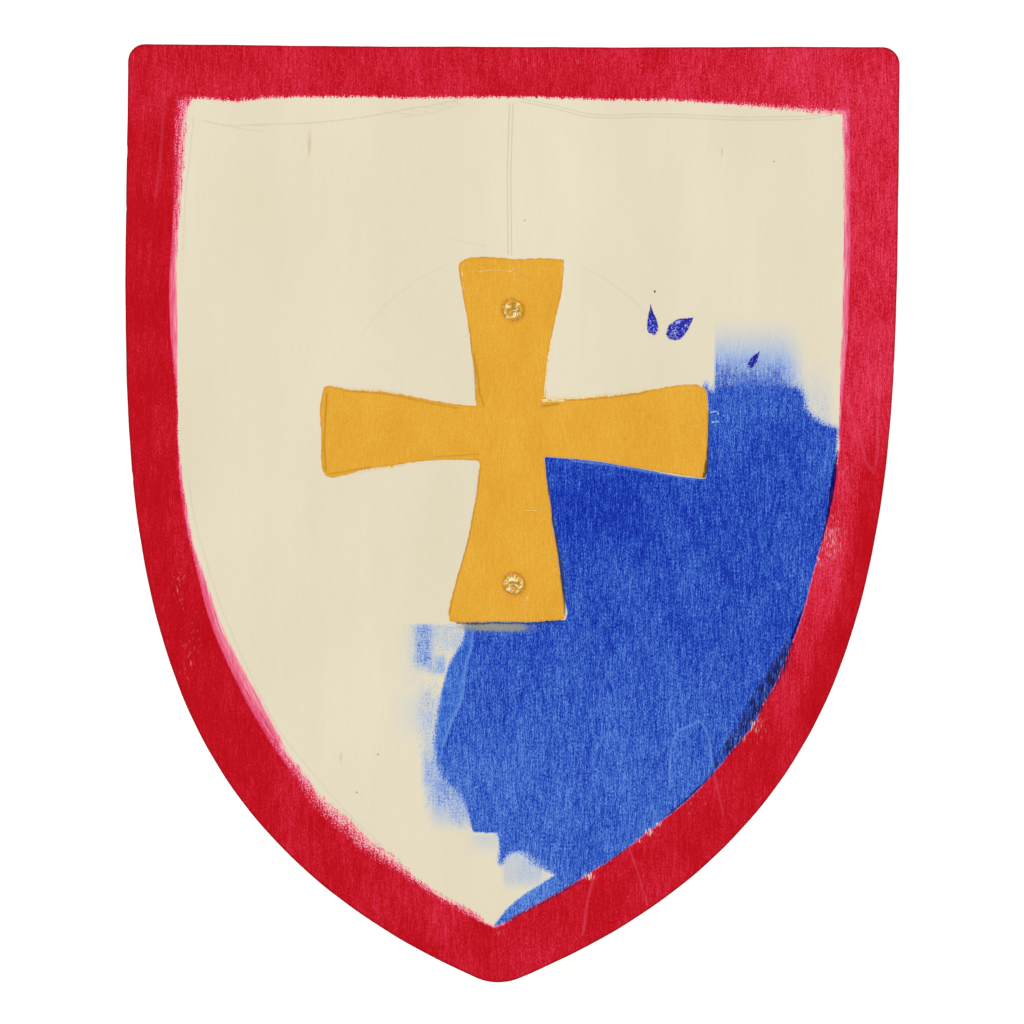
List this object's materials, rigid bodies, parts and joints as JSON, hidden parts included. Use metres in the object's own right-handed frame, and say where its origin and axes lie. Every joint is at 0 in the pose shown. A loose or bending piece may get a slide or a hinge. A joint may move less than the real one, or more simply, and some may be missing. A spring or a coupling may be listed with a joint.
{
  "type": "wooden toy shield",
  "caption": "Flat heater-shaped plywood play shield, half painted with a red border, a flared cross and a blue quarter, with a wooden hand grip screwed to its back.",
  "frame": {"origin": "on the surface that the shield lies on, under the middle of the board's width and length", "axes": "+Z out of the painted face as the shield lies face up on its handle, +Y to the straight top edge, +X to the right of someone who looks at the painted face"},
  "size_m": [0.305, 0.3714, 0.0512],
  "materials": {
    "painted_plywood": "bare pale birch plywood with thin matt water-based paint: red border, ochre cross, brushed blue",
    "handle_wood": "bare sanded softwood",
    "painted_screw": "steel pan head screw under thick satin ochre paint"
  },
  "bodies": {
    "root": {"shield_board": "painted_plywood", "back_handle": "handle_wood", "upper_screw": "painted_screw", "lower_screw": "painted_screw"}
  },
  "joints": []
}
